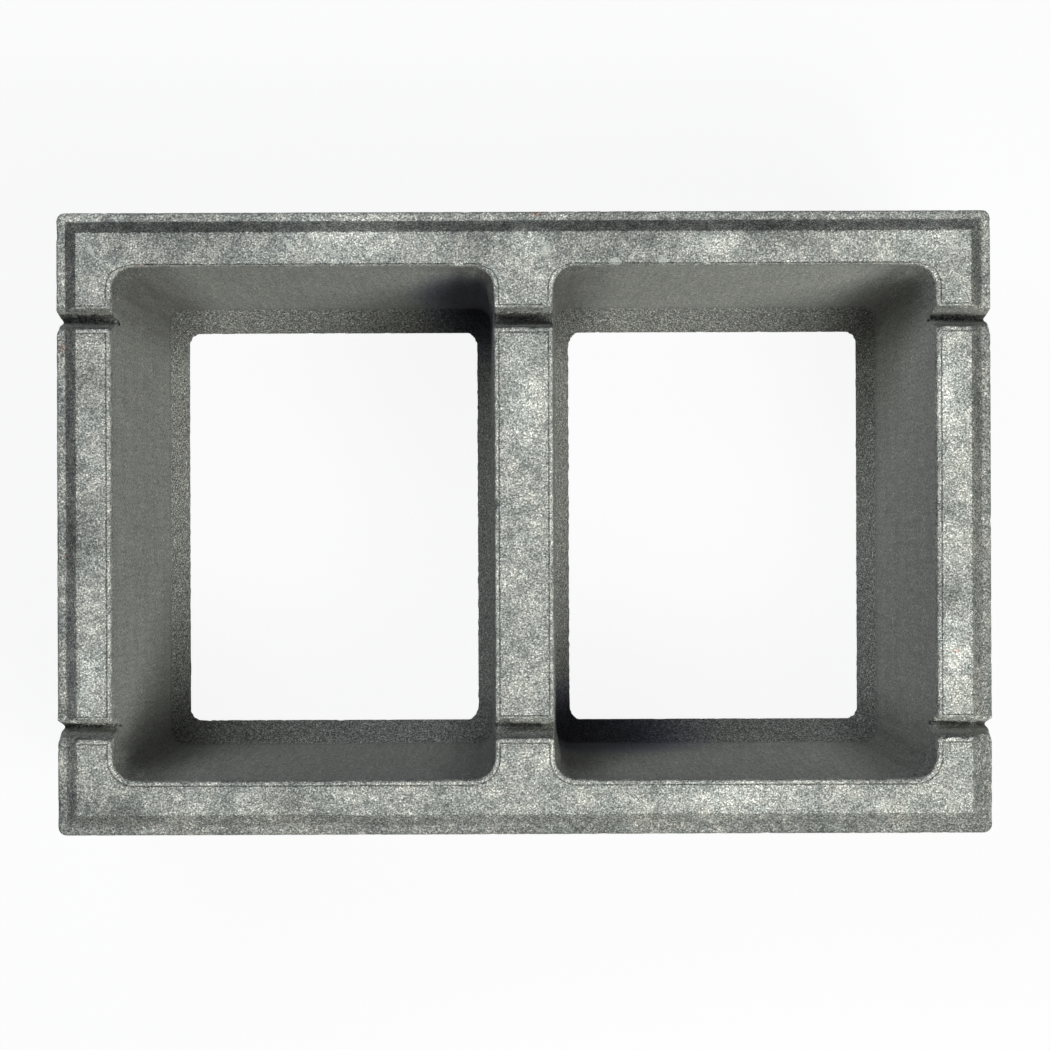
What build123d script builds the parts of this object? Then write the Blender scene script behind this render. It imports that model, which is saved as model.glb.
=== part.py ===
from build123d import *
from math import atan2, degrees
import os

os.makedirs("parts", exist_ok=True)

# Overall size of the block, lying on its bed face
block_length = 450
block_width = 300
block_height = 200
corner_radius = 4

# Walls, measured across the top face
end_wall = 27
side_wall = 26.5
web = 28
cell_count = 2

# Edge of the top face: a lower land along the outside, then a slope up to the face
land_width = 4.5
slope_width = 6
slope_height = 6

# Cells, which narrow downwards: a lead-in under the mouth, a wall with little draft,
# and a flared foot that thickens the walls where they meet the bed face
mouth_radius = 11
lead_in_inset = 3.2
lead_in_height = 20
wall_draft = 0.4
foot_height = 20
foot_inset_along = 8.6
foot_inset_across = 12.2
foot_radius = 6

# Break grooves across the end walls and the web: a V with a blunt root, rounded off where
# it runs out through the end faces
groove_setback = 25
groove_width = 10
groove_depth = 22
groove_root_width = 1.2
groove_root_radius = 0.5
groove_mouth_radius = 4

cell_length = (block_length - 2 * end_wall - (cell_count - 1) * web) / cell_count
cell_width = block_width - 2 * side_wall
cell_pitch = cell_length + web
wall_top = block_height - lead_in_height
wall_height = wall_top - foot_height
wall_inset = lead_in_inset + wall_draft
land_level = block_height - slope_height
groove_centre = cell_width / 2 - groove_setback
groove_root = block_height - groove_depth

# The form of one cell, as the mould core that leaves it
with BuildPart() as cell_core:
    # Lead-in under the mouth
    with BuildSketch(Plane.XY.offset(block_height)):
        RectangleRounded(cell_length, cell_width, mouth_radius)
    extrude(amount=-lead_in_height, taper=degrees(atan2(lead_in_inset, lead_in_height)))

    # Wall, nearly upright
    with BuildSketch(Plane.XY.offset(wall_top)):
        RectangleRounded(
            cell_length - 2 * lead_in_inset,
            cell_width - 2 * lead_in_inset,
            mouth_radius - lead_in_inset,
        )
    extrude(amount=-wall_height, taper=degrees(atan2(wall_draft, wall_height)))

    # Flared foot, which comes in further from the sides than from the ends
    with BuildSketch(Plane.XY.offset(foot_height)):
        RectangleRounded(
            cell_length - 2 * wall_inset,
            cell_width - 2 * wall_inset,
            mouth_radius - wall_inset,
        )
    with BuildSketch():
        RectangleRounded(
            cell_length - 2 * (wall_inset + foot_inset_along),
            cell_width - 2 * (wall_inset + foot_inset_across),
            foot_radius,
        )
    loft(ruled=True)

with BuildPart() as hollow_block:
    # Body up to the land
    with BuildSketch():
        RectangleRounded(block_length, block_width, corner_radius)
    extrude(amount=land_level)

    # Raised face with its sloping edge, mitred at the corners
    with BuildSketch(Plane.XY.offset(land_level)):
        Rectangle(block_length - 2 * land_width, block_width - 2 * land_width)
    extrude(amount=slope_height, taper=degrees(atan2(slope_width, slope_height)))

    # Cells, open at both ends
    with GridLocations(cell_pitch, 0, cell_count, 1):
        add(cell_core.part, mode=Mode.SUBTRACT)

    # Two V grooves, each cut through every cross wall in one pass
    with BuildSketch(Plane.YZ) as groove_section:
        with BuildLine():
            Polyline(
                (groove_centre - groove_width / 2, block_height),
                (groove_centre - groove_root_width / 2, groove_root),
                (groove_centre + groove_root_width / 2, groove_root),
                (groove_centre + groove_width / 2, block_height),
                close=True,
            )
        make_face()
        fillet(groove_section.vertices().group_by(Axis.Y)[0], groove_root_radius)
        mirror(about=Plane.YZ)
    extrude(amount=block_length / 2, both=True, mode=Mode.SUBTRACT)

    # Rounded ends of the grooves: the fillet starts from the slanted edges in the end faces
    # and runs on round the groove's root
    end_faces = hollow_block.faces().filter_by(Axis.X).group_by(Axis.X)
    end_edges = end_faces[0].edges() + end_faces[-1].edges()
    slanted_edges = (
        end_edges.filter_by(GeomType.LINE)
        .filter_by(Axis.Y, reverse=True)
        .filter_by(Axis.Z, reverse=True)
    )
    fillet(slanted_edges, groove_mouth_radius)

hollow_block.part.label = "hollow_block"
export_step(hollow_block.part, "parts/hollow_block.step")
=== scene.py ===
"""Looks of the hollow concrete block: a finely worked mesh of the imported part, one procedural
concrete material, a pale floor, soft lamps and the camera straight above."""
import math
from types import SimpleNamespace

import bpy
import numpy as np
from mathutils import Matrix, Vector


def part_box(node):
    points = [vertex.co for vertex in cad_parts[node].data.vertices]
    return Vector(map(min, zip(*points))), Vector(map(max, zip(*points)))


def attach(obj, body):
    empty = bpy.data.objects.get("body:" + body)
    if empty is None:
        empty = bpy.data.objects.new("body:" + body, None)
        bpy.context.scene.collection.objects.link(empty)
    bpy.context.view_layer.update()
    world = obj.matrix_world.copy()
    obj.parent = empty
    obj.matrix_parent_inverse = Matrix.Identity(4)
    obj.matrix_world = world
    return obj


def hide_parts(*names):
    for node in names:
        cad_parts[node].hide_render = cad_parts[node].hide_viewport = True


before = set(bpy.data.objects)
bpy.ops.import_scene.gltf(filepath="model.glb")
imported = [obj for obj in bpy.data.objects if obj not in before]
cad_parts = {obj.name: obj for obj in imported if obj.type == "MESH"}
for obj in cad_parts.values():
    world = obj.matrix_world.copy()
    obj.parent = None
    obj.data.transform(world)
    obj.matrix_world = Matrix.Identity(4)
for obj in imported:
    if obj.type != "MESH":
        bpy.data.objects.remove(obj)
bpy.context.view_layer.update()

MM = 0.001

# The block's own sizes, as in its CAD source
block_length = 450 * MM
block_width = 300 * MM
block_height = 200 * MM
cell_length = 184 * MM
cell_width = 247 * MM
cell_pitch = 212 * MM
mouth_radius = 11 * MM
web = 28 * MM
lead_in_inset = 3.2 * MM
lead_in_height = 20 * MM
wall_draft = 0.4 * MM
foot_height = 20 * MM
land_width = 4.5 * MM
slope_width = 6 * MM
land_level = 194 * MM
groove_centre = 98.5 * MM
groove_half_width = 5 * MM
groove_depth = 22 * MM
groove_mouth_radius = 4 * MM

# How far a groove's slope comes in for each unit of depth
groove_lean = 0.2

# Fineness of the mesh, and the small chips round the top
voxel = 1.15 * MM
triangles = 192_000
chip_count = 520
chip_seed = 41

# Lamps: how far they stand from the point that they light and how many degrees above it, its
# height, and the cooler fill
lamp_distance = 1.35
lamp_elevation = 58
aim_height = 150 * MM
fill_colour = (0.95, 0.98, 1.1)


# Noise and zones for the mesh

def lattice_value(cell, seed):
    """A number from 0 to 1 for each whole-number cell, alike in every run."""
    n = cell[:, 0] * 73856093 ^ cell[:, 1] * 19349663 ^ cell[:, 2] * 83492791 ^ seed * 26544357
    n = (n ^ (n >> 13)) * 1274126177
    n = n ^ (n >> 16)
    return (n & 0xFFFF) / 0xFFFF


def noise(points, size, seed):
    """Smooth noise from -1 to 1, with blobs about size across."""
    place = points / size
    cell = np.floor(place).astype(np.int64)
    part = place - cell
    part = part * part * (3 - 2 * part)
    total = np.zeros(len(points))
    for corner in np.ndindex(2, 2, 2):
        weight = np.where(corner, part, 1 - part).prod(axis=1)
        total += weight * lattice_value(cell + corner, seed)
    return 2 * total - 1


def ramp(value, low, high):
    """0 up to low, 1 from high on, and a smooth climb between; high may be the lower one."""
    part = np.clip((value - low) / (high - low), 0, 1)
    return part * part * (3 - 2 * part)


def from_outline(points):
    """How far each point lies inside the block's outline in plan."""
    return np.minimum(block_length / 2 - abs(points[:, 0]), block_width / 2 - abs(points[:, 1]))


def past_corners(points):
    """How far each point lies past the middles of the nearer cell's corner arcs, along and across."""
    over_x = abs(abs(points[:, 0]) - cell_pitch / 2) - (cell_length / 2 - mouth_radius)
    over_y = abs(points[:, 1]) - (cell_width / 2 - mouth_radius)
    return over_x, over_y


def from_cell(points):
    """How far each point lies outside the nearer cell's mouth in plan; below 0 inside it."""
    over_x, over_y = past_corners(points)
    outside = np.hypot(np.maximum(over_x, 0), np.maximum(over_y, 0))
    return outside + np.minimum(np.maximum(over_x, over_y), 0) - mouth_radius


def across_groove(points):
    """How far each point lies to the +Y side of the nearer break groove's middle plane."""
    return points[:, 1] - np.copysign(groove_centre, points[:, 1])


def groove_zone(points):
    """1 where the +Y slope and the root of the break grooves are torn. The grooves on the
    block's +Y half have a smooth upper part first, a deeper one at the right-hand end."""
    depth = block_height - points[:, 2]
    across = across_groove(points)
    smooth = np.where(points[:, 1] > 0, 10 * MM + 5 * MM * ramp(points[:, 0], 0.1, 0.2), 0.5 * MM)
    ragged = depth + 3 * MM * noise(points, 4 * MM, 11)
    torn = ramp(ragged, smooth, smooth + 2 * MM) * ramp(across, -1.2 * MM, -0.2 * MM)
    within = ramp(abs(across) + groove_lean * depth, groove_half_width + 1.6 * MM, groove_half_width)
    inside = ramp(from_outline(points), 2 * MM, 6 * MM)
    return torn * within * inside


def web_zone(points):
    """1 on the web and close beside it, up to the corners of the cells, and 0 elsewhere."""
    along_web = ramp(abs(points[:, 1]), cell_width / 2 - mouth_radius, groove_centre + 6 * MM)
    return along_web * (abs(points[:, 0]) < web)


def foot_zone(points):
    """1 on the rough flared foot of the cells and on the rough sides of the web."""
    ragged = points[:, 2] + 0.8 * MM * noise(points, 5 * MM, 12)
    low = ramp(ragged, foot_height + 0.8 * MM, foot_height - 0.8 * MM)
    low = np.maximum(low, web_zone(points) * (from_cell(points) < 0))
    return low * (from_outline(points) > 20 * MM) * (points[:, 2] > 0.3 * MM)


def top_zone(points):
    """1 on the face, slope and land round the top, 0 on the walls below them."""
    return (points[:, 2] > land_level - 0.6 * MM) * ramp(from_cell(points), -0.4 * MM, 0.2 * MM)


# Work on the mesh

def read_mesh(mesh):
    """The mesh's points, vertex normals and edges as arrays."""
    points = np.empty(len(mesh.vertices) * 3)
    normals = np.empty(len(mesh.vertices) * 3)
    edges = np.empty(len(mesh.edges) * 2, np.int64)
    mesh.vertices.foreach_get("co", points)
    mesh.vertex_normals.foreach_get("vector", normals)
    mesh.edges.foreach_get("vertices", edges)
    return points.reshape(-1, 3), normals.reshape(-1, 3), edges.reshape(-1, 2)


def smoothed(points, edges, passes):
    """The points after each has moved to its neighbours' middle so many times."""
    ends = np.concatenate((edges[:, 0], edges[:, 1]))
    others = np.concatenate((edges[:, 1], edges[:, 0]))
    count = np.bincount(ends, minlength=len(points))
    for _ in range(passes):
        sums = [np.bincount(ends, points[others, axis], len(points)) for axis in range(3)]
        points = np.stack(sums, axis=1) / count[:, None]
    return points


def wear_arrises(points, normals, edges):
    """Rounds the convex edges unevenly, as handling crumbles them."""
    pull = smoothed(points, edges, 3) - points
    outward = (pull * normals).sum(axis=1)
    convex = ramp(-outward, 0.02 * MM, 0.12 * MM)
    uneven = 0.3 + 0.5 * noise(points, 2.2 * MM, 21) * ramp(noise(points, 14 * MM, 22), -0.6, 0.5)
    crisp = ramp(abs(across_groove(points)), groove_half_width + 2.5 * MM, groove_half_width + 1 * MM)
    uneven *= 1 - 0.6 * crisp
    return points + pull * (convex * uneven)[:, None], convex


def straighten_walls(points):
    """Takes the lead-in off the walls between the cells' corners, where the photo shows them
    falling almost straight from the lip to the foot. The grooves' surfaces go with them."""
    depth = block_height - points[:, 2]
    wall_height = block_height - lead_in_height - foot_height
    led_in = lead_in_inset * np.minimum(depth / lead_in_height, 1)
    led_in += wall_draft * np.clip((depth - lead_in_height) / wall_height, 0, 1)
    straight = (lead_in_inset + wall_draft) * depth / (block_height - foot_height)
    into_wall = from_cell(points) + led_in
    move = (led_in - straight) * ramp(into_wall, 12 * MM, 0) * (points[:, 2] > foot_height)

    over_x, over_y = past_corners(points)
    outward = np.sign(points[:, 0]) * np.sign(abs(points[:, 0]) - cell_pitch / 2)
    points[:, 0] += move * outward * (over_x > over_y) * ramp(over_y, 0, -8 * MM)
    points[:, 1] += move * np.sign(points[:, 1]) * (over_y > over_x) * ramp(over_x, 0, -8 * MM)
    return points


def sharpen_notches(points):
    """Draws the rounded ends of the break grooves in, as the photo's outline has them: sharp on
    the +Y side and at the root, and still round high up on the -Y side."""
    across = across_groove(points)
    depth = block_height - points[:, 2]
    half_width = groove_half_width - groove_lean * np.minimum(depth, groove_depth)
    beside = np.maximum(abs(across) - half_width, 0)
    below = np.maximum(depth - groove_depth, 0)
    inward = block_length / 2 - abs(points[:, 0])
    rounded = (np.hypot(beside, below) < groove_mouth_radius) & (inward < groove_mouth_radius)
    kept = np.where(across > 0, 0.2, 0.2 + 0.8 * ramp(depth, 17 * MM, 8 * MM))
    shift = rounded * (1 - kept)
    points[:, 0] += np.sign(points[:, 0]) * shift * inward
    points[:, 1] -= np.sign(across) * shift * beside
    points[:, 2] += shift * below
    return points


def open_roots(points):
    """Tears the roots of the break grooves open a few millimetres deeper, unevenly."""
    depth = block_height - points[:, 2]
    root = ramp(depth, groove_depth - 5 * MM, groove_depth - 1 * MM) * (depth < groove_depth + 3 * MM)
    near = ramp(abs(across_groove(points)), 1.7 * MM, 0.4 * MM)
    points[:, 2] -= root * near * (3.2 * MM + 1.2 * MM * noise(points, 6 * MM, 23))
    return points


def chip_arrises(points, normals, convex):
    """Breaks small bites out of the arrises of the top."""
    rng = np.random.default_rng(chip_seed)
    near = np.flatnonzero((convex > 0.3) & (points[:, 2] > land_level - 2 * MM))
    centres = points[rng.choice(near, chip_count)]
    vary = rng.uniform(0.9, 1.0, chip_count)
    radii = vary * MM * rng.choice([1.1, 1.5, 2.6], chip_count, p=[0.6, 0.3, 0.1])
    for centre, radius in zip(centres, radii):
        away = np.linalg.norm(points[near] - centre, axis=1)
        bite = 0.55 * radius * ramp(away, radius, 0.3 * radius)
        points[near] -= normals[near] * bite[:, None]
    return points


def relief(points):
    """How far the surface stands out along its normal, by zone."""
    top = top_zone(points)
    torn = groove_zone(points)
    foot = foot_zone(points)
    plain = (1 - top) * (1 - torn) * (1 - foot)

    wave = 0.08 * MM * noise(points, 45 * MM, 31)
    pores = 0.35 * MM * ramp(noise(points, 3.2 * MM, 38), 0.6, 0.85)
    pressed = 0.13 * MM * noise(points, 2.4 * MM, 32) + 0.08 * MM * noise(points, 9 * MM, 33)
    gritty = 0.34 * MM * noise(points, 3 * MM, 34) + 0.22 * MM * noise(points, 1.5 * MM, 35)
    pits = 1.5 * MM * ramp(noise(points, 3.4 * MM, 36), 0, 0.5)
    crumbs = 0.4 * MM * noise(points, 1.7 * MM, 37)
    height = (wave - pores) * plain + pressed * top
    height += (gritty - 0.1 * MM) * foot * (1 - torn)
    height += (crumbs - pits) * torn
    return height


def write_points(mesh, points):
    """Puts the points back into the mesh, kept inside the CAD box."""
    low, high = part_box("hollow_block")
    mesh.vertices.foreach_set("co", np.clip(points, low, high).ravel())
    mesh.update()


def work_mesh(mesh):
    """Gives the fine mesh its worn arrises, torn grooves, relief and chips."""
    points, normals, edges = read_mesh(mesh)
    points, convex = wear_arrises(points, normals, edges)
    points = straighten_walls(points)
    points = sharpen_notches(points)
    points = open_roots(points)
    points += normals * relief(points)[:, None]
    points = chip_arrises(points, normals, convex)
    write_points(mesh, points)


def with_modifier(thing, kind, **settings):
    """The thing's mesh as one modifier leaves it."""
    modifier = thing.modifiers.new(kind, kind)
    for name, value in settings.items():
        setattr(modifier, name, value)
    graph = bpy.context.evaluated_depsgraph_get()
    mesh = bpy.data.meshes.new_from_object(thing.evaluated_get(graph))
    thing.modifiers.remove(modifier)
    return mesh


def make_block(material):
    """The block as one piece in the place of the CAD node."""
    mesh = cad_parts["hollow_block"].data.copy()
    mesh.materials.clear()
    block = bpy.data.objects.new("concrete_block", mesh)
    bpy.context.scene.collection.objects.link(block)
    block.data = with_modifier(block, "REMESH", mode="VOXEL", voxel_size=voxel)
    work_mesh(block.data)
    before = sum(len(face.vertices) - 2 for face in block.data.polygons)
    block.data = with_modifier(block, "DECIMATE", ratio=triangles / before)
    write_points(block.data, read_mesh(block.data)[0])
    block.data.shade_smooth()
    block.data.materials.append(material)
    return block


# Shader nodes

class Shading:
    """Short calls that add and join the nodes of one material or world."""

    def __init__(self, owner):
        owner.use_nodes = True
        self.tree = owner.node_tree
        self.tree.nodes.clear()

    def node(self, kind, inputs, **settings):
        made = self.tree.nodes.new(kind)
        for name, value in settings.items():
            setattr(made, name, value)
        for name, value in inputs.items():
            if isinstance(value, bpy.types.NodeSocket):
                self.tree.links.new(value, made.inputs[name])
            else:
                made.inputs[name].default_value = value
        return made

    def math(self, operation, a, b=0.0):
        return self.node("ShaderNodeMath", {0: a, 1: b}, operation=operation).outputs[0]

    def times(self, a, b):
        return self.math("MULTIPLY", a, b)

    def plus(self, a, b):
        return self.math("ADD", a, b)

    def minus(self, a, b):
        return self.math("SUBTRACT", a, b)

    def without(self, mask):
        """1 where the mask is 0, and 0 where it is 1."""
        return self.minus(1.0, mask)

    def size_of(self, value):
        """The number without its sign."""
        return self.math("ABSOLUTE", value)

    def ramp(self, value, low, high, start=0.0, end=1.0):
        """start up to low, end from high on, and a smooth climb between."""
        inputs = {"Value": value, "From Min": low, "From Max": high, "To Min": start, "To Max": end}
        made = self.node("ShaderNodeMapRange", inputs, interpolation_type="SMOOTHSTEP")
        return made.outputs["Result"]

    def blend(self, factor, a, b):
        """The number a where factor is 0 and b where it is 1."""
        made = self.node("ShaderNodeMix", {0: factor, 2: a, 3: b}, data_type="FLOAT")
        return made.outputs[0]

    def scaled(self, value, mask, factor):
        """The value, times the factor where the mask is 1."""
        return self.times(value, self.blend(mask, 1.0, factor))

    def tint(self, factor, a, b):
        """The colour a where factor is 0 and b where it is 1."""
        made = self.node("ShaderNodeMix", {0: factor, 6: a, 7: b}, data_type="RGBA")
        return made.outputs[2]

    def noise(self, place, size, detail, roughness=0.55):
        """Soft noise from about -0.5 to 0.5, with blobs about size across."""
        inputs = {"Vector": place, "Scale": 1 / size, "Detail": detail, "Roughness": roughness}
        made = self.node("ShaderNodeTexNoise", inputs)
        return self.minus(made.outputs["Fac"], 0.5)

    def grains(self, place, size):
        """A random number from -0.5 to 0.5 for each grain of about that size."""
        made = self.node("ShaderNodeTexVoronoi", {"Vector": place, "Scale": 1 / size})
        split = self.node("ShaderNodeSeparateColor", {0: made.outputs["Color"]})
        return self.minus(split.outputs[0], 0.5)

    def total(self, *parts):
        """The sum of several numbers."""
        result = parts[0]
        for part in parts[1:]:
            result = self.plus(result, part)
        return result

    def any_of(self, *masks):
        """The strongest of several masks."""
        result = masks[0]
        for mask in masks[1:]:
            result = self.math("MAXIMUM", result, mask)
        return result

    def mark(self, place, x, y, half_length, half_width, turn=0, z=200, half_height=20):
        """1 in the middle of a long soft mark, 0 outside it. Sizes are in mm."""
        inputs = {
            "Vector": place,
            "Location": (x * MM, y * MM, z * MM),
            "Rotation": (0, 0, math.radians(turn)),
            "Scale": (half_length * MM, half_width * MM, half_height * MM),
        }
        moved = self.node("ShaderNodeMapping", inputs, vector_type="TEXTURE").outputs[0]
        spot = self.node("ShaderNodeTexGradient", {0: moved}, gradient_type="SPHERICAL")
        return spot.outputs["Fac"]


# Marks that the photo shows

def rubbed_marks(s, place):
    """Light scratches, scuffs and two chips on the top."""
    return s.any_of(
        s.mark(place, 157, 134, 11, 0.9, -37),
        s.mark(place, 88, 133, 8, 1.4, -61),
        s.mark(place, 11, 131, 6, 3.2, 85),
        s.mark(place, -207, 131, 5, 2.0, -65),
        s.mark(place, -112, 133, 8, 1.6, -50),
        s.mark(place, -92, 131, 9, 0.8, -38),
        s.mark(place, -207, 17, 9, 0.9, -42),
        s.mark(place, -8, 19, 9, 0.7, -90),
        s.mark(place, 44, 125, 4.6, 3.0),
        s.mark(place, 67, 125.5, 3.4, 2.4),
    )


def pale_areas(s, place):
    """Broad paler areas of the top."""
    return s.any_of(
        s.mark(place, -83, 138, 40, 18),
        s.mark(place, 3, 138, 12, 16),
        s.mark(place, 94, 136, 20, 10),
        s.mark(place, 192, 138, 20, 16),
        s.mark(place, -210, 143, 7, 12),
        s.mark(place, -210, -78, 12, 22),
        s.mark(place, 203, 62, 11, 38),
        s.mark(place, 205, -60, 11, 22),
        s.mark(place, 0, 60, 14, 34),
        s.mark(place, 100, -132, 40, 12),
    )


def dark_areas(s, place):
    """Broad darker areas of the top."""
    return s.any_of(
        s.mark(place, -165, 138, 52, 20),
        s.mark(place, -22, 136, 18, 15),
        s.mark(place, 40, 138, 40, 19),
        s.mark(place, 122, 140, 34, 15),
        s.mark(place, -210, -2, 14, 26),
        s.mark(place, -210, 68, 12, 20),
        s.mark(place, -200, -134, 26, 16),
        s.mark(place, -110, -134, 24, 10),
        s.mark(place, 204, -35, 10, 14),
    )


def rust_specks(s, place):
    """Small rust-coloured grains on the top."""
    return s.any_of(
        s.mark(place, 6.5, 148.6, 5.0, 2.6),
        s.mark(place, -222, 85, 2.6, 3.6),
        s.mark(place, -221, -15, 1.4, 1.2),
        s.mark(place, -183, 124.5, 1.3, 1.0),
        s.mark(place, 162, -123.5, 1.2, 0.9),
        s.mark(place, 197, -118, 1.2, 0.9, 40),
        s.mark(place, 205, 94, 1.4, 1.2),
        s.mark(place, 207, -62, 2.4, 1.6),
    )


# Painted shadow, unlike the marks above
def painted_corner_shadows(s, place, x):
    """Painted shadow in the two corners of the cells beside the web, which makes them very dark."""
    left = s.mark(place, -18, 120, 50, 42, z=65, half_height=140)
    right = s.mark(place, 24, -118, 95, 42, z=15, half_height=95)
    left = s.times(left, s.ramp(x, 0.0, -MM))
    right = s.times(right, s.ramp(x, 0.0, MM))
    return s.ramp(s.any_of(left, right), 0.0, 0.7)


# Where each kind of surface is. Each function returns its distances, patterns or masks by name.

def places(s, place):
    """Coordinates and distances. In plan: inwards from the outline, outwards from the nearer
    cell's mouth, towards +Y from the nearer groove's middle, and how far into a cell's corner."""
    x, y, z = s.node("ShaderNodeSeparateXYZ", {0: place}).outputs
    off_middle = s.size_of(x)
    off_axis = s.size_of(y)
    from_end = s.minus(block_length / 2, off_middle)
    from_side = s.minus(block_width / 2, off_axis)

    off_centre = s.size_of(s.minus(off_middle, cell_pitch / 2))
    over_x = s.minus(off_centre, cell_length / 2 - mouth_radius)
    over_y = s.minus(off_axis, cell_width / 2 - mouth_radius)
    past_arcs = {0: s.math("MAXIMUM", over_x, 0.0), 1: s.math("MAXIMUM", over_y, 0.0)}
    corner = s.node("ShaderNodeCombineXYZ", past_arcs).outputs[0]
    corner = s.node("ShaderNodeVectorMath", {0: corner}, operation="LENGTH").outputs["Value"]
    straight = s.math("MINIMUM", s.math("MAXIMUM", over_x, over_y), 0.0)

    across = s.times(s.minus(off_axis, groove_centre), s.math("SIGN", y))
    return SimpleNamespace(
        point=place, x=x, y=y, z=z, off_middle=off_middle,
        depth=s.minus(block_height, z),
        outline=s.math("MINIMUM", from_end, from_side),
        cell=s.total(corner, straight, -mouth_radius),
        nook=s.math("MINIMUM", over_x, over_y),
        across=across,
        off_groove=s.size_of(across),
    )


def grain_patterns(s, place):
    """Random patterns from broad to fine, streaks down the walls, and how they fray edges."""
    drawn_out = s.node("ShaderNodeVectorMath", {0: place, 1: (1, 1, 0.04)}, operation="MULTIPLY")
    clouds = s.noise(place, 6 * MM, 2.0, 0.65)
    sand = s.noise(place, 0.8 * MM, 1.0, 0.7)
    return SimpleNamespace(
        patches=s.noise(place, 22 * MM, 3.0, 0.65),
        clouds=clouds,
        sand=sand,
        grains=s.grains(place, 0.6 * MM),
        streaks=s.noise(drawn_out.outputs["Vector"], 1.7 * MM, 1.0),
        fray=s.times(sand, 1.4 * MM),
        wander=s.times(clouds, 6 * MM),
    )


def top_masks(s, at, grain):
    """The top with its land, slope and face, and the outer sides below it."""
    high = s.ramp(at.z, land_level - 1.0 * MM, land_level - 0.5 * MM)
    top = s.times(high, s.ramp(s.plus(at.cell, grain.fray), -0.5 * MM, 0.0))
    rim = s.plus(at.outline, s.times(grain.fray, 0.6))
    face_edge = land_width + slope_width
    past_land = s.ramp(rim, land_width - 0.25 * MM, land_width + 0.25 * MM)
    past_slope = s.ramp(rim, face_edge - 0.3 * MM, face_edge + 0.2 * MM)
    return SimpleNamespace(
        high=high,
        top=top,
        past_slope=past_slope,
        land=s.times(top, s.without(past_land)),
        slope=s.times(top, s.minus(past_land, past_slope)),
        side=s.times(s.ramp(at.outline, 2 * MM, 1 * MM), s.without(high)),
    )


def cell_masks(s, at, grain, upper):
    """The cells' surfaces: the gritty foot and web sides, the band above the foot, which takes
    painted shade, and the corners, which take painted shade too, very dark in two of them.
    """
    off_bed = s.ramp(at.z, 0.1 * MM, 0.3 * MM)
    within = s.times(off_bed, s.ramp(at.outline, 15 * MM, 16 * MM))
    walls = s.minus(within, upper.top)
    by_web = s.times(s.ramp(at.off_middle, 26 * MM, 24 * MM), walls)
    by_web = s.times(by_web, s.ramp(at.nook, 2 * MM, -4 * MM))
    ragged_height = s.plus(at.z, s.times(grain.wander, 0.8))
    foot_line = s.ramp(ragged_height, foot_height + 2 * MM, foot_height - 2 * MM)
    return SimpleNamespace(
        by_web=by_web,
        foot=s.any_of(s.times(within, foot_line), by_web),
        painted_shade_above_foot=s.times(within, s.ramp(at.z, foot_height + 9 * MM, foot_height + 2 * MM)),
        painted_corner_shade=s.times(s.ramp(at.nook, -30 * MM, 7 * MM), walls),
        painted_shadow=s.times(within, painted_corner_shadows(s, at.point, at.x)),
    )


def groove_masks(s, at, grain):
    """The break grooves: smooth slopes, of which the one on the +Y side is torn low down, and on
    the web's groove on the +Y half both. Towards the root the torn parts turn very dark with
    painted shade."""
    edge_at_depth = s.plus(at.off_groove, s.times(at.depth, groove_lean))
    near = s.ramp(edge_at_depth, groove_half_width + 1.2 * MM, groove_half_width + 0.4 * MM)
    groove = s.times(near, s.ramp(at.depth, 0.4 * MM, 1.2 * MM))

    rear = s.ramp(at.y, -MM, MM)
    lit_side = s.ramp(s.plus(at.across, grain.fray), -1.0 * MM, 0.0)
    on_web = s.times(rear, s.ramp(at.off_middle, 22 * MM, 20 * MM))
    smooth_rear = s.ramp(at.x, 0.1, 0.2, 10 * MM, 15 * MM)
    smooth_to = s.blend(rear, 0.5 * MM, smooth_rear)
    ragged_depth = s.plus(at.depth, grain.wander)
    broken = s.ramp(ragged_depth, smooth_to, s.plus(smooth_to, 1.5 * MM))

    # Painted shade: where the torn parts start to darken towards the root
    root_shade_from = s.blend(rear, 15 * MM, smooth_rear)
    root_shade_to = s.plus(root_shade_from, s.blend(rear, 5 * MM, 2 * MM))
    return SimpleNamespace(
        groove=groove,
        lit_side=lit_side,
        torn=s.times(groove, s.times(broken, s.any_of(lit_side, on_web))),
        root_painted_shade=s.ramp(ragged_depth, root_shade_from, root_shade_to),
    )


def imprint_masks(s, at, grain, upper):
    """Imprint of the mould's shoe: a thin broken line just outside the cells and grooves, which
    runs nearer to the edges that face -Y, and the lip that it leaves along them."""
    groove_edge = s.minus(at.off_groove, groove_half_width)
    groove_edge = s.plus(groove_edge, s.times(s.ramp(at.across, 0.0, MM), 1.1 * MM))
    beyond_cell = s.ramp(at.y, cell_width / 2 - 3 * MM, cell_width / 2)
    cell_edge = s.plus(at.cell, s.times(beyond_cell, 1.4 * MM))
    field_edge = s.plus(s.math("MINIMUM", cell_edge, groove_edge), s.times(grain.fray, 0.5))
    off_line = s.size_of(s.minus(field_edge, 2.1 * MM))
    on_face = s.times(upper.past_slope, s.ramp(at.z, block_height - 1.0 * MM, block_height - 0.6 * MM))
    broken_line = s.times(on_face, s.ramp(grain.clouds, -0.2, 0.0, 0.35, 1.0))
    return SimpleNamespace(
        imprint=s.times(s.ramp(off_line, 0.5 * MM, 0.15 * MM), broken_line),
        lip=s.times(s.ramp(field_edge, 1.9 * MM, 1.4 * MM), on_face),
    )


# The concrete's look

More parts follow.
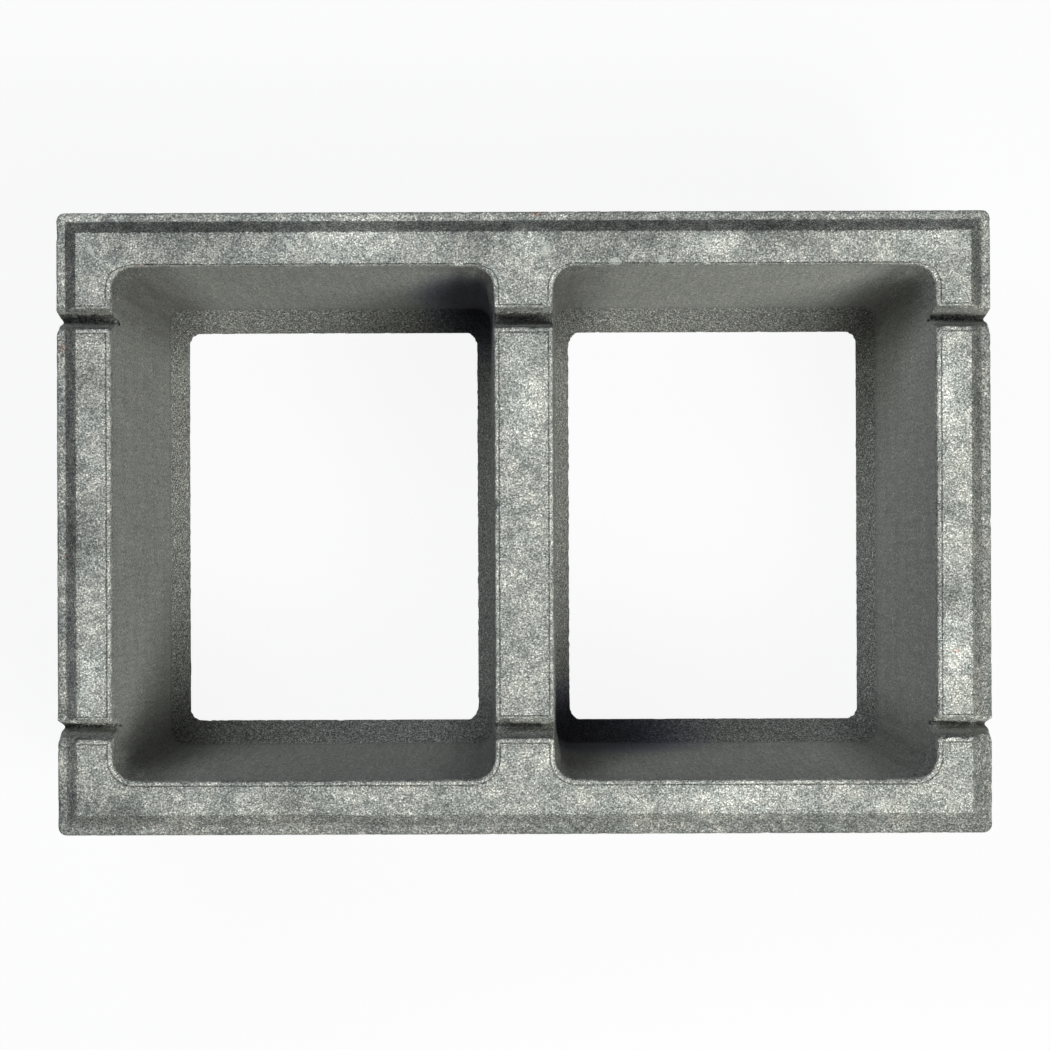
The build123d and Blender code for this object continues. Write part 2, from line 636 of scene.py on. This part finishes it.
def plain_level(s, at, upper, inner, cut, pressed):
    """Brightness of each kind of surface, without its grain. The land changes its tone evenly along
    and across the block, by so much a metre. The slope does so too, darker on the +Y side as
    painted shade and lighter towards -Y and the right-hand end as painted light. Painted light
    also lightens the face, walls and sides towards the right-hand end, the web's right side and
    the grooves' -Y slope lower down; painted shade darkens the web's left side, the band above
    the foot, the cells' corners, two of them very much, and the torn grooves near the root."""
    # Painted light: walls and outer sides grow lighter towards the right-hand end
    painted_wall_light = s.ramp(at.x, 0.0, 0.19, 1.0, 1.22)
    foot_level = s.ramp(at.off_middle, 0.15, 0.18, 0.31, 0.36)
    # Painted shade on the web's left side and painted light on its right side
    painted_web_side_light = s.ramp(at.x, -0.01, 0.01, 0.95, 1.1)
    # Painted light: the face is lighter at the right-hand end
    face_tone_and_painted_light = s.ramp(at.x, 0.19, 0.21, 0.395, 0.435)
    land_tone = s.total(s.times(at.y, 0.33), s.times(at.x, -0.09), 0.31)
    # The slope is dark of itself; painted shade on its +Y side, painted light towards -Y and the right
    slope_tone_and_painted_light = s.total(s.times(at.y, -0.41), s.times(at.x, 0.07), 0.215)
    # Painted light: the grooves' -Y slope grows lighter lower down, where their own shade falls
    groove_side_painted_light = s.ramp(at.depth, 0.0, 20 * MM, 0.2, 0.34)

    level = s.blend(upper.side, 0.385, 0.4)
    # Painted shade in the band just above the foot, where wall and foot meet
    level = s.scaled(level, inner.painted_shade_above_foot, 0.86)
    level = s.times(level, painted_wall_light)
    level = s.blend(inner.foot, level, foot_level)
    level = s.scaled(level, inner.by_web, painted_web_side_light)
    # Painted shade in all the cells' corners
    level = s.scaled(level, inner.painted_corner_shade, 0.45)
    # Painted shadow: two corners beside the web made very dark
    level = s.scaled(level, inner.painted_shadow, 0.18)
    level = s.blend(upper.top, level, face_tone_and_painted_light)
    level = s.blend(upper.land, level, land_tone)
    level = s.blend(upper.slope, level, slope_tone_and_painted_light)
    level = s.blend(cut.groove, level, s.blend(cut.lit_side, groove_side_painted_light, 0.32))
    # Painted shade: torn parts very dark towards the root
    level = s.blend(cut.torn, level, s.blend(cut.root_painted_shade, 0.42, 0.12))
    level = s.scaled(level, pressed.imprint, 0.38)
    return s.scaled(level, pressed.lip, 1.12)


def grain_shade(s, at, grain, upper, inner, cut):
    """What the random patterns and broad areas do to the brightness, as a factor about 1."""
    gritty = s.any_of(upper.top, inner.foot, cut.torn)
    salt = s.total(s.times(grain.grains, 0.95), s.times(grain.sand, 2.2))
    salt = s.scaled(salt, gritty, 1.3)
    salt = s.times(salt, s.blend(inner.foot, s.blend(cut.torn, 1.0, 1.4), 1.2))
    cloud = s.times(grain.clouds, s.blend(upper.top, s.blend(upper.side, 0.15, 0.8), 1.3))
    patch = s.times(grain.patches, s.blend(upper.top, s.blend(upper.side, 0.12, 0.7), 1.2))
    streak = s.times(grain.streaks, s.blend(gritty, 0.4, 0.0))
    areas = s.minus(pale_areas(s, at.point), dark_areas(s, at.point))
    areas = s.times(areas, s.times(upper.top, 0.42))
    balance = s.blend(gritty, -0.01, -0.07)
    return s.math("EXPONENT", s.total(salt, cloud, patch, streak, areas, balance))


def with_rubbed_marks(s, at, grain, brightness):
    """The brightness with the light scratches, scuffs and chips on it."""
    ragged = s.plus(rubbed_marks(s, at.point), s.times(grain.sand, 0.8))
    rubbed = s.ramp(ragged, 0.15, 0.6)
    scuffed = s.plus(s.times(brightness, 0.35), 0.46)
    return s.blend(s.times(rubbed, 0.8), brightness, scuffed)


def hue_of_surface(s, at, grain, upper, inner):
    """The hue: cream patches on a greener grey on the top, a plain grey below with a blue tint in
    the painted corner shadows, and rust specks.
    """
    warm = s.ramp(s.plus(grain.patches, s.times(grain.clouds, 0.5)), -0.12, 0.16)
    top_hue = s.tint(warm, (0.945, 1, 0.9, 1), (0.99, 1, 0.88, 1))
    hue = s.tint(upper.top, (0.9775, 1, 0.9025, 1), top_hue)
    # The painted shadow is tinted blue, as shade is
    hue = s.tint(inner.painted_shadow, hue, (0.97, 1, 1.3, 1))
    ragged = s.plus(rust_specks(s, at.point), s.times(grain.sand, 0.8))
    rusty = s.ramp(ragged, 0.2, 0.6)
    return s.tint(s.times(rusty, 0.8), hue, (1.08, 0.8, 0.66, 1))


def fine_relief(s, at, grain, upper, pressed):
    """The normal, with relief too fine for the mesh."""
    low = s.ramp(at.z, foot_height, foot_height - MM)
    coarse = s.any_of(s.times(upper.high, 0.6), low)
    height = s.times(grain.sand, s.blend(coarse, 0.25, 0.9))
    height = s.minus(height, s.times(pressed.imprint, 0.3))
    bump = s.node("ShaderNodeBump", {"Height": height, "Distance": MM, "Strength": 1.0})
    return bump.outputs[0]


def make_concrete():
    """Dry-cast concrete: a salt-and-pepper pressed top with rubbed patches and scratches, dark
    slopes, smoother cell walls with faint streaks, and a gritty foot and grooves. Its colour also
    holds painted light and shade, as plain_level lists."""
    material = bpy.data.materials.new("concrete")
    s = Shading(material)
    place = s.node("ShaderNodeTexCoord", {}).outputs["Object"]
    at = places(s, place)
    grain = grain_patterns(s, place)
    upper = top_masks(s, at, grain)
    inner = cell_masks(s, at, grain, upper)
    cut = groove_masks(s, at, grain)
    pressed = imprint_masks(s, at, grain, upper)

    level = plain_level(s, at, upper, inner, cut, pressed)
    brightness = s.times(level, grain_shade(s, at, grain, upper, inner, cut))
    brightness = with_rubbed_marks(s, at, grain, brightness)
    hue = hue_of_surface(s, at, grain, upper, inner)
    colour = s.node("ShaderNodeVectorMath", {0: hue, "Scale": brightness}, operation="SCALE")

    look = {"Base Color": colour.outputs[0], "Normal": fine_relief(s, at, grain, upper, pressed)}
    look |= {"Roughness": 0.92, "Specular IOR Level": 0.25}
    shader = s.node("ShaderNodeBsdfPrincipled", look)
    s.node("ShaderNodeOutputMaterial", {"Surface": shader.outputs[0]})
    return material


# Stage

def make_floor():
    """A pale floor that the camera sees as white, with the block's soft shadow on it."""
    material = bpy.data.materials.new("floor")
    s = Shading(material)
    path = s.node("ShaderNodeLightPath", {})
    seen = s.any_of(path.outputs["Is Camera Ray"], path.outputs["Is Glossy Ray"])
    pale = s.tint(seen, (0.35, 0.35, 0.35, 1), (0.95, 0.95, 0.95, 1))
    matt = s.node("ShaderNodeBsdfDiffuse", {"Color": pale})
    white = s.node("ShaderNodeEmission", {"Color": (1, 1, 1, 1), "Strength": 1.0})
    share = s.times(seen, 0.91)
    mixed = s.node("ShaderNodeMixShader", {0: share, 1: matt.outputs[0], 2: white.outputs[0]})
    s.node("ShaderNodeOutputMaterial", {"Surface": mixed.outputs[0]})

    bpy.ops.mesh.primitive_plane_add(size=12, location=(0, 0, -0.1 * MM))
    floor = bpy.context.object
    floor.name = "floor"
    floor.data.materials.append(material)


def make_world():
    """A dim even surround that the camera sees as white."""
    world = bpy.data.worlds.new("surround")
    bpy.context.scene.world = world
    s = Shading(world)
    path = s.node("ShaderNodeLightPath", {})
    strength = s.blend(path.outputs["Is Camera Ray"], 0.01, 1.0)
    background = s.node("ShaderNodeBackground", {"Color": (1, 1, 1, 1), "Strength": strength})
    s.node("ShaderNodeOutputWorld", {"Surface": background.outputs[0]})


def add_lamp(name, azimuth, power, colour=(1, 1, 1)):
    """A square soft lamp turned towards the block. Azimuth is in degrees from +X towards +Y."""
    data = bpy.data.lights.new(name, "AREA")
    data.shape = "SQUARE"
    data.size = 0.45
    data.energy = power
    data.color = colour
    lamp = bpy.data.objects.new(name, data)
    bpy.context.scene.collection.objects.link(lamp)
    turn = math.radians(azimuth)
    rise = math.radians(lamp_elevation)
    level_reach = lamp_distance * math.cos(rise)
    toward = Vector((math.cos(turn) * level_reach, math.sin(turn) * level_reach, 0))
    toward.z = lamp_distance * math.sin(rise)
    lamp.location = toward + Vector((0, 0, aim_height))
    lamp.rotation_mode = "QUATERNION"
    lamp.rotation_quaternion = toward.to_track_quat("Z", "Y")


def add_camera():
    """Straight above the block, a little off its middle and turned by 0.2 degrees, as the photo
    was taken."""
    frame_width = 502.7 * MM
    distance = 1178 * MM
    data = bpy.data.cameras.new("camera")
    data.sensor_width = 36
    data.lens = 36 * distance / frame_width
    data.shift_x = 0.0061
    data.shift_y = 0.019
    camera = bpy.data.objects.new("camera", data)
    bpy.context.scene.collection.objects.link(camera)
    camera.location = (-0.0027, -0.0106, block_height + distance)
    camera.rotation_euler = (0, 0, -0.0035)
    bpy.context.scene.camera = camera


block = make_block(make_concrete())
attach(block, "root")
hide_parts("hollow_block")

make_floor()
make_world()
add_lamp("key_front", 300, 8.5)
add_lamp("key_right", 330, 6.6)
add_lamp("fill_left", 150, 3.0, fill_colour)
add_lamp("fill_back", 120, 3.7, fill_colour)
add_camera()

bpy.context.scene.view_settings.view_transform = "Standard"
